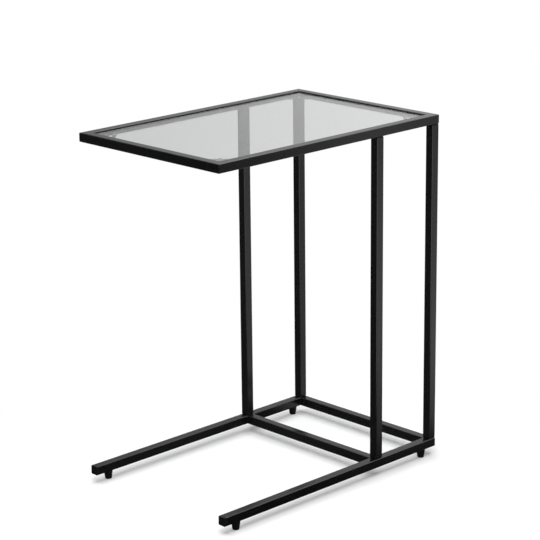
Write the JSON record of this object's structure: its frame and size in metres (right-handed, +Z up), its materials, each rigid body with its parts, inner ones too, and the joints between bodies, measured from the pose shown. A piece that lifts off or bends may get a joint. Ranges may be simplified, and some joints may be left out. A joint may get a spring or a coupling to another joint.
{
  "type": "c shaped side table",
  "caption": "C shaped side table of black square steel tube: a sunk clear glass top held out over a long open base by upright posts along one end.",
  "frame": {"origin": "on the floor, in the middle of the table's outline", "axes": "+X towards the closed spine, -X the open end of the C, +Y the far long side, +Z up"},
  "size_m": [0.525, 0.345, 0.631],
  "materials": {
    "black_powder_coat": "satin powder coat",
    "clear_glass": "polished",
    "clear_pad": "clear silicone",
    "black_plastic": "moulded, fine texture",
    "zinc_steel": "bright zinc plate"
  },
  "bodies": {
    "frame": {"barrel_nuts": "zinc_steel", "base_crossbar_inner": "black_powder_coat", "base_crossbar_spine": "black_powder_coat", "base_rail_far": "black_powder_coat", "base_rail_near": "black_powder_coat", "corner_brace_open_far": "black_powder_coat", "corner_brace_open_near": "black_powder_coat", "corner_brace_spine_far": "black_powder_coat", "corner_brace_spine_near": "black_powder_coat", "foot_rivet_nuts": "zinc_steel", "frame_rivet_nuts": "zinc_steel", "glass_pads": "clear_pad", "lower_plug_inner_far": "black_plastic", "lower_plug_inner_near": "black_plastic", "lower_plug_spine_far": "black_plastic", "lower_plug_spine_near": "black_plastic", "post_inner_far": "black_powder_coat", "post_inner_near": "black_powder_coat", "post_spine_far": "black_powder_coat", "post_spine_near": "black_powder_coat", "rail_end_cap_far": "black_plastic", "rail_end_cap_near": "black_plastic", "tie_rod_inner_far": "zinc_steel", "tie_rod_inner_near": "zinc_steel", "tie_rod_spine_far": "zinc_steel", "tie_rod_spine_near": "zinc_steel", "top_rail_far": "black_powder_coat", "top_rail_near": "black_powder_coat", "top_rail_open_end": "black_powder_coat", "top_rail_spine": "black_powder_coat", "upper_plug_inner_far": "black_plastic", "upper_plug_inner_near": "black_plastic", "upper_plug_spine_far": "black_plastic", "upper_plug_spine_near": "black_plastic"},
    "glass_pane": {"glass_top": "clear_glass"},
    "foot_rise_open_near": {"foot_stud_open_near": "zinc_steel"},
    "foot_turn_open_near": {"foot_open_near": "black_plastic"},
    "foot_rise_open_far": {"foot_stud_open_far": "zinc_steel"},
    "foot_turn_open_far": {"foot_open_far": "black_plastic"},
    "foot_rise_spine_near": {"foot_stud_spine_near": "zinc_steel"},
    "foot_turn_spine_near": {"foot_spine_near": "black_plastic"},
    "foot_rise_spine_far": {"foot_stud_spine_far": "zinc_steel"},
    "foot_turn_spine_far": {"foot_spine_far": "black_plastic"}
  },
  "joints": [
    {"name": "glass_lift", "type": "slide", "parent": "frame", "child": "glass_pane", "axis": [0, 0, 1], "range_m": [0, 0.06]},
    {"name": "foot_screw_out_open_near", "type": "slide", "parent": "frame", "child": "foot_rise_open_near", "axis": [0, 0, -1], "range_m": [0, 0.006]},
    {"name": "foot_spin_open_near", "type": "hinge", "parent": "foot_rise_open_near", "child": "foot_turn_open_near", "pos_m": [-0.2305, -0.1645, 0.0155], "axis": [0, 0, -1], "range_deg": [0, 2160]},
    {"name": "foot_screw_out_open_far", "type": "slide", "parent": "frame", "child": "foot_rise_open_far", "axis": [0, 0, -1], "range_m": [0, 0.006]},
    {"name": "foot_spin_open_far", "type": "hinge", "parent": "foot_rise_open_far", "child": "foot_turn_open_far", "pos_m": [-0.2305, 0.1645, 0.0155], "axis": [0, 0, -1], "range_deg": [0, 2160]},
    {"name": "foot_screw_out_spine_near", "type": "slide", "parent": "frame", "child": "foot_rise_spine_near", "axis": [0, 0, -1], "range_m": [0, 0.006]},
    {"name": "foot_spin_spine_near", "type": "hinge", "parent": "foot_rise_spine_near", "child": "foot_turn_spine_near", "pos_m": [0.2325, -0.1645, 0.0155], "axis": [0, 0, -1], "range_deg": [0, 2160]},
    {"name": "foot_screw_out_spine_far", "type": "slide", "parent": "frame", "child": "foot_rise_spine_far", "axis": [0, 0, -1], "range_m": [0, 0.006]},
    {"name": "foot_spin_spine_far", "type": "hinge", "parent": "foot_rise_spine_far", "child": "foot_turn_spine_far", "pos_m": [0.2325, 0.1645, 0.0155], "axis": [0, 0, -1], "range_deg": [0, 2160]}
  ],
  "couplings": [
    {"joint": "foot_spin_open_near", "follows": "foot_screw_out_open_near", "rad_per_m": 6283.2},
    {"joint": "foot_spin_open_far", "follows": "foot_screw_out_open_far", "rad_per_m": 6283.2},
    {"joint": "foot_spin_spine_near", "follows": "foot_screw_out_spine_near", "rad_per_m": 6283.2},
    {"joint": "foot_spin_spine_far", "follows": "foot_screw_out_spine_far", "rad_per_m": 6283.2}
  ]
}
